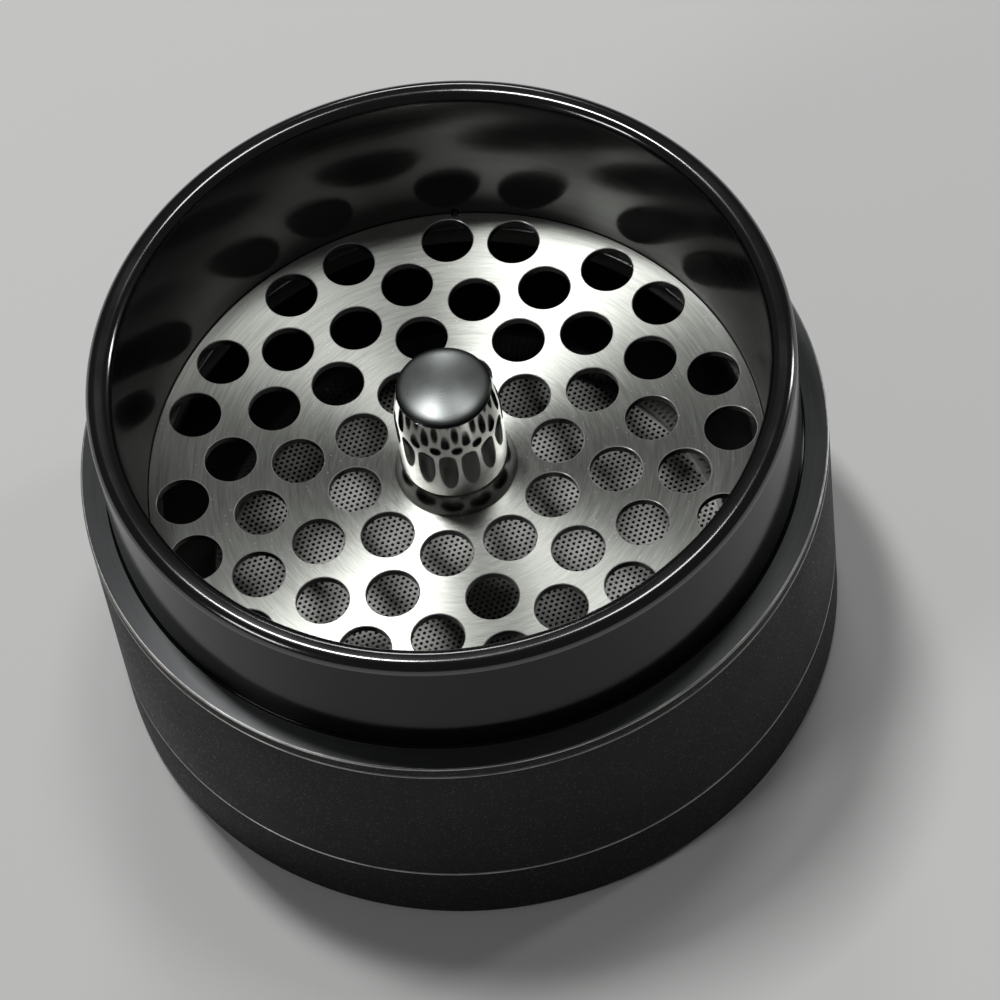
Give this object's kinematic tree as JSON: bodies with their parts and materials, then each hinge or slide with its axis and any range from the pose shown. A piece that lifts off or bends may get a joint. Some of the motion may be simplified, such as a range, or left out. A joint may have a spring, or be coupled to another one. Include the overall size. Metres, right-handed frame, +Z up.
{
  "type": "herb grinder",
  "caption": "Open round herb grinder body: perforated milling plate with a centre post in a tall neck, a sieve chamber below, and a shallow catch tray that screws on.",
  "frame": {"origin": "centre of the underside of the catch tray, on the surface it stands on", "axes": "+Z up along the common axis, +X through a hole of the plate's innermost circle"},
  "size_m": [0.063, 0.063, 0.037],
  "materials": {
    "black_matte": "bead blasted, black anodised",
    "black_gloss": "polished, black anodised, with a satin shoulder",
    "brushed_plate": "circular brushed",
    "screen_steel": "etched and polished screen",
    "retaining_steel": "turned",
    "glide_plastic": "natural",
    "pin_steel": "ground",
    "post_chrome": "polished",
    "cap_satin": "fine satin",
    "magnet_nickel": "nickel plated",
    "screw_steel": "turned"
  },
  "bodies": {
    "tray": {"catch_tray": "black_matte"},
    "lower_ring": {"lower_glide_ring": "glide_plastic"},
    "sieve_body": {"sieve_chamber": "black_matte", "sieve_screen": "screen_steel", "screen_retaining_ring": "retaining_steel"},
    "upper_ring": {"upper_glide_ring": "glide_plastic"},
    "mill_body": {"milling_chamber": "black_gloss", "plate_locating_pin": "pin_steel"},
    "plate_assembly": {"milling_plate": "brushed_plate", "post_collar": "post_chrome", "centre_post": "post_chrome", "post_cap": "cap_satin", "post_magnet": "magnet_nickel", "post_screw": "screw_steel", "post_washer": "screw_steel"}
  },
  "joints": [
    {"name": "lower_ring_lift", "type": "slide", "parent": "tray", "child": "lower_ring", "axis": [0, 0, 1], "range_m": [0, 0.00301]},
    {"name": "sieve_chamber_turn", "type": "hinge", "parent": "lower_ring", "child": "sieve_body", "pos_m": [0, 0, 0.0073], "axis": [0, 0, 1], "range_deg": [0, 540]},
    {"name": "upper_ring_lift", "type": "slide", "parent": "sieve_body", "child": "upper_ring", "axis": [0, 0, 1], "range_m": [0, 0.00401]},
    {"name": "milling_chamber_turn", "type": "hinge", "parent": "upper_ring", "child": "mill_body", "pos_m": [0, 0, 0.0237], "axis": [0, 0, 1], "range_deg": [0, 720]},
    {"name": "milling_plate_lift", "type": "slide", "parent": "mill_body", "child": "plate_assembly", "axis": [0, 0, 1], "range_m": [0, 0.03]}
  ],
  "couplings": [
    {"joint": "lower_ring_lift", "follows": "sieve_chamber_turn", "m_per_rad": 0.00031831},
    {"joint": "upper_ring_lift", "follows": "milling_chamber_turn", "m_per_rad": 0.00031831}
  ]
}
